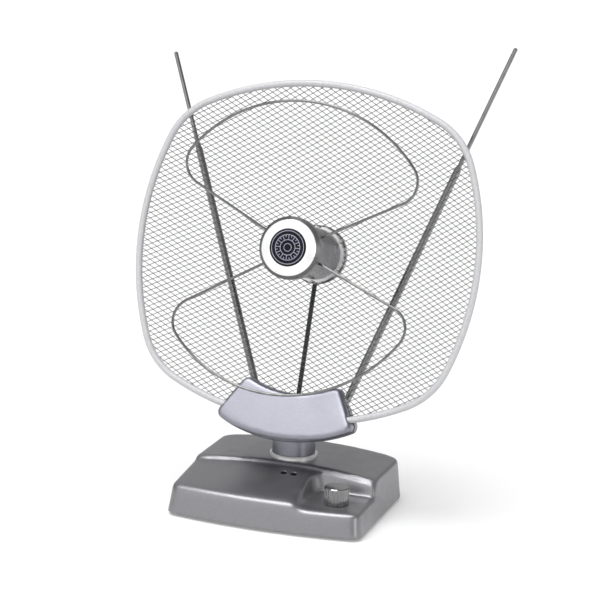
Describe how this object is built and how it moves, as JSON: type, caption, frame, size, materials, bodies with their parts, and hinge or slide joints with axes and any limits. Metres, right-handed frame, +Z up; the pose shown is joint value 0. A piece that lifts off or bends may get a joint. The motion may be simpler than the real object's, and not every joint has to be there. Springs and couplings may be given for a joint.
{
  "type": "indoor television antenna",
  "caption": "Indoor television antenna: dished wire-mesh reflector with wire loops on a hub, telescopic rods and a swivel on an amplifier base with a gain knob.",
  "frame": {"origin": "on the table, under the middle of the whole antenna's box", "axes": "+Z up, -Y to the front that the reflector faces, +X to the right as seen from the front"},
  "size_m": [0.3072, 0.188, 0.3933],
  "materials": {
    "base_paint": "satin silver-grey paint on moulded plastic",
    "saddle_paint": "pale satin silver paint on moulded plastic",
    "hub_paint": "satin silver paint on moulded plastic",
    "rim_coat": "pale grey plastic-coated steel wire",
    "mesh_wire": "bright expanded aluminium mesh",
    "chrome": "polished chrome plate on drawn steel and brass",
    "black_plastic": "black moulded plastic",
    "emblem": "black gloss disc with pale printed rings",
    "cable": "black flexible jacket",
    "foot_rubber": "matt black rubber",
    "board": "green printed circuit laminate",
    "screw_steel": "zinc-plated steel",
    "brass": "nickel-free brass terminals",
    "lamp": "dark tinted lamp lens"
  },
  "bodies": {
    "base": {"base_housing": "base_paint", "bottom_plate": "black_plastic", "foot_front_left": "foot_rubber", "foot_front_right": "foot_rubber", "foot_rear_left": "foot_rubber", "foot_rear_right": "foot_rubber", "bottom_screws": "screw_steel", "amplifier_board": "board", "gain_potentiometer": "screw_steel", "power_lamp": "lamp", "signal_lamp": "lamp", "coax_socket": "chrome", "power_jack": "black_plastic", "swivel_ring": "chrome"},
    "knob": {"gain_knob": "hub_paint", "potentiometer_shaft": "screw_steel"},
    "head": {"saddle_front": "saddle_paint", "saddle_rear": "saddle_paint", "saddle_screws": "screw_steel", "swivel_nut": "screw_steel", "reflector_rim": "rim_coat", "reflector_mesh": "mesh_wire", "hub_body": "hub_paint", "hub_cap": "hub_paint", "hub_emblem": "emblem", "hub_back_cover": "hub_paint", "hub_screw": "screw_steel", "balun_board": "board", "loop_terminals": "brass", "upper_loop": "chrome", "lower_loop": "chrome", "feeder_cable": "cable", "left_pivot_screw": "screw_steel", "right_pivot_screw": "screw_steel"},
    "left_rod_one": {"left_knuckle": "black_plastic", "left_tube_one": "chrome"},
    "left_rod_two": {"left_tube_two": "chrome"},
    "left_rod_three": {"left_tube_three": "chrome"},
    "left_rod_four": {"left_tube_four": "chrome"},
    "right_rod_one": {"right_knuckle": "black_plastic", "right_tube_one": "chrome"},
    "right_rod_two": {"right_tube_two": "chrome"},
    "right_rod_three": {"right_tube_three": "chrome"},
    "right_rod_four": {"right_tube_four": "chrome"}
  },
  "joints": [
    {"name": "reflector_swivel", "type": "hinge", "parent": "base", "child": "head", "pos_m": [0, -0.006, 0.045], "axis": [0, 0, 1], "range_deg": [-90, 90]},
    {"name": "gain_turn", "type": "hinge", "parent": "base", "child": "knob", "pos_m": [0.057, -0.0625, 0.03], "axis": [0, 0, 1], "range_deg": [-135, 135]},
    {"name": "left_rod_pivot", "type": "hinge", "parent": "head", "child": "left_rod_one", "pos_m": [-0.0355, 0.0066, 0.07745], "axis": [0, -0.9659, 0.2588], "range_deg": [-21.6, 58]},
    {"name": "left_slide_two", "type": "slide", "parent": "left_rod_one", "child": "left_rod_two", "axis": [-0.3681, 0.2406, 0.8981], "range_m": [0, 0.19]},
    {"name": "left_slide_three", "type": "slide", "parent": "left_rod_two", "child": "left_rod_three", "axis": [-0.3681, 0.2406, 0.8981], "range_m": [-0.08, 0.105]},
    {"name": "left_slide_four", "type": "slide", "parent": "left_rod_three", "child": "left_rod_four", "axis": [-0.3681, 0.2406, 0.8981], "range_m": [0, 0.19]},
    {"name": "right_rod_pivot", "type": "hinge", "parent": "head", "child": "right_rod_one", "pos_m": [0.0355, 0.0066, 0.07745], "axis": [0, 0.9659, -0.2588], "range_deg": [-19.3, 60]},
    {"name": "right_slide_two", "type": "slide", "parent": "right_rod_one", "child": "right_rod_two", "axis": [0.3305, 0.2443, 0.9116], "range_m": [0, 0.19]},
    {"name": "right_slide_three", "type": "slide", "parent": "right_rod_two", "child": "right_rod_three", "axis": [0.3305, 0.2443, 0.9116], "range_m": [-0.105, 0.085]},
    {"name": "right_slide_four", "type": "slide", "parent": "right_rod_three", "child": "right_rod_four", "axis": [0.3305, 0.2443, 0.9116], "range_m": [0, 0.19]}
  ]
}
